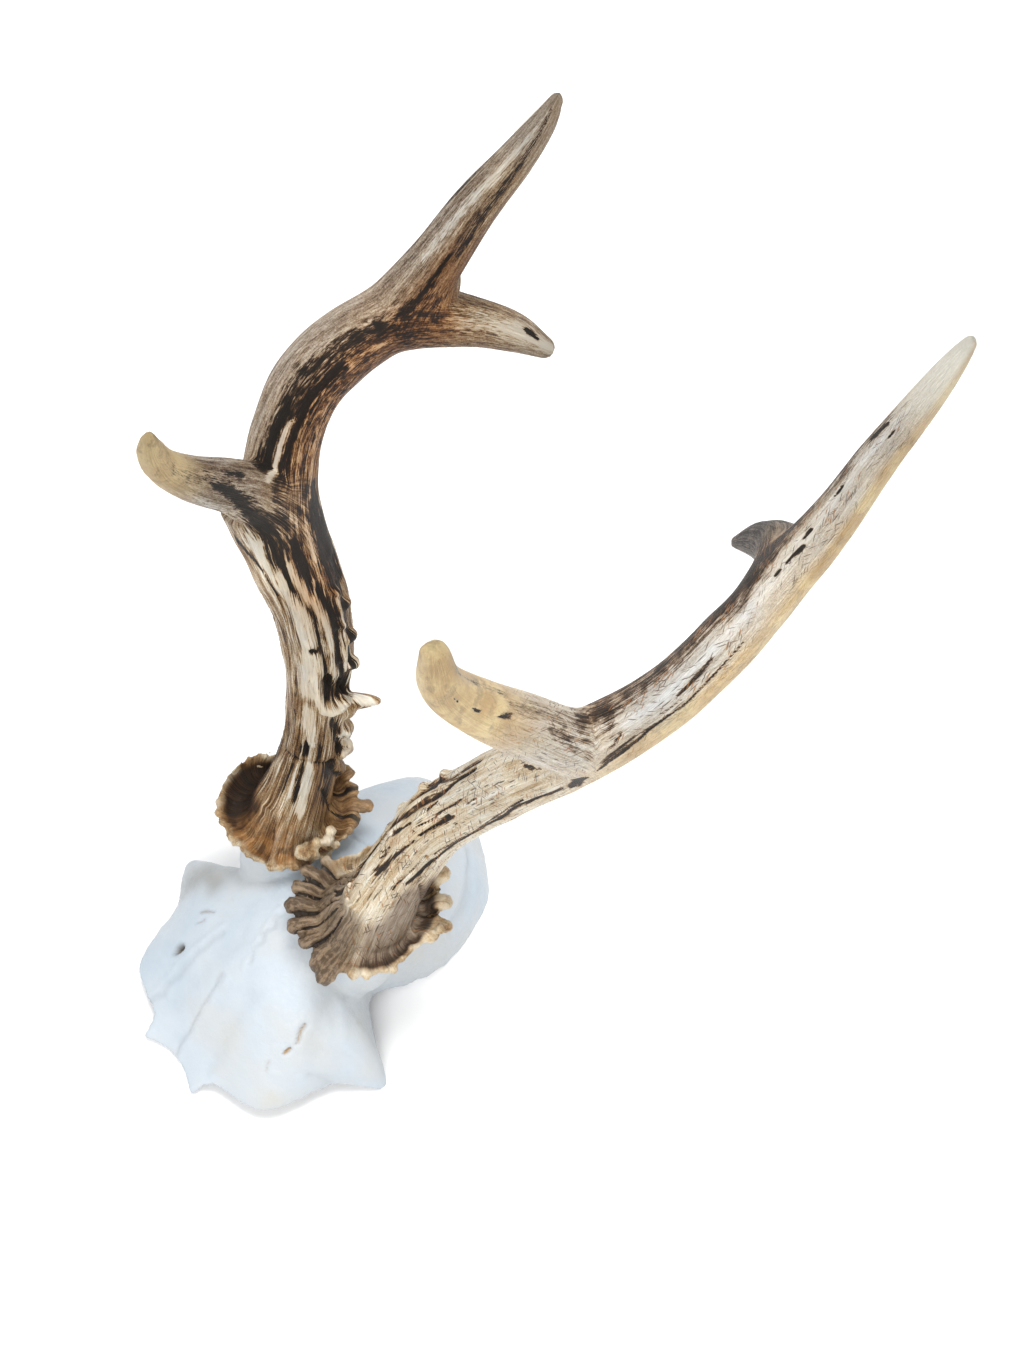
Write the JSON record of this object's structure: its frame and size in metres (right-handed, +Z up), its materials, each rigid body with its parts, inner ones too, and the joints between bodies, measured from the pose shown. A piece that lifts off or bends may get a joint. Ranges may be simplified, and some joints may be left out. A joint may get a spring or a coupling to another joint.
{
  "type": "deer antlers on skull cap",
  "caption": "Roe deer antlers with knobbly burrs and front, rear and top tines, joined by the pedicles of their bleached skull cap, which stands on its sawn rim.",
  "frame": {"origin": "below the middle of the object's box, on the surface it stands on", "axes": "+X to the animal's left, -Y towards its nose, +Z up out of the skull"},
  "size_m": [0.1265, 0.1714, 0.2354],
  "materials": {
    "antler_beam": "weathered brown antler, furrowed and pearled, half matt",
    "antler_tine": "polished tan to cream antler",
    "bleached_bone": "bleached bone, matt"
  },
  "bodies": {
    "root": {"right_lower_beam": "antler_beam", "right_middle_beam": "antler_beam", "left_lower_beam": "antler_beam", "left_middle_beam": "antler_beam", "right_front_tine": "antler_tine", "right_rear_tine": "antler_tine", "right_top_tine": "antler_tine", "left_front_tine": "antler_tine", "left_rear_tine": "antler_tine", "left_top_tine": "antler_tine", "right_frontal_bone": "bleached_bone", "left_frontal_bone": "bleached_bone", "parietal_bone": "bleached_bone"}
  },
  "joints": []
}
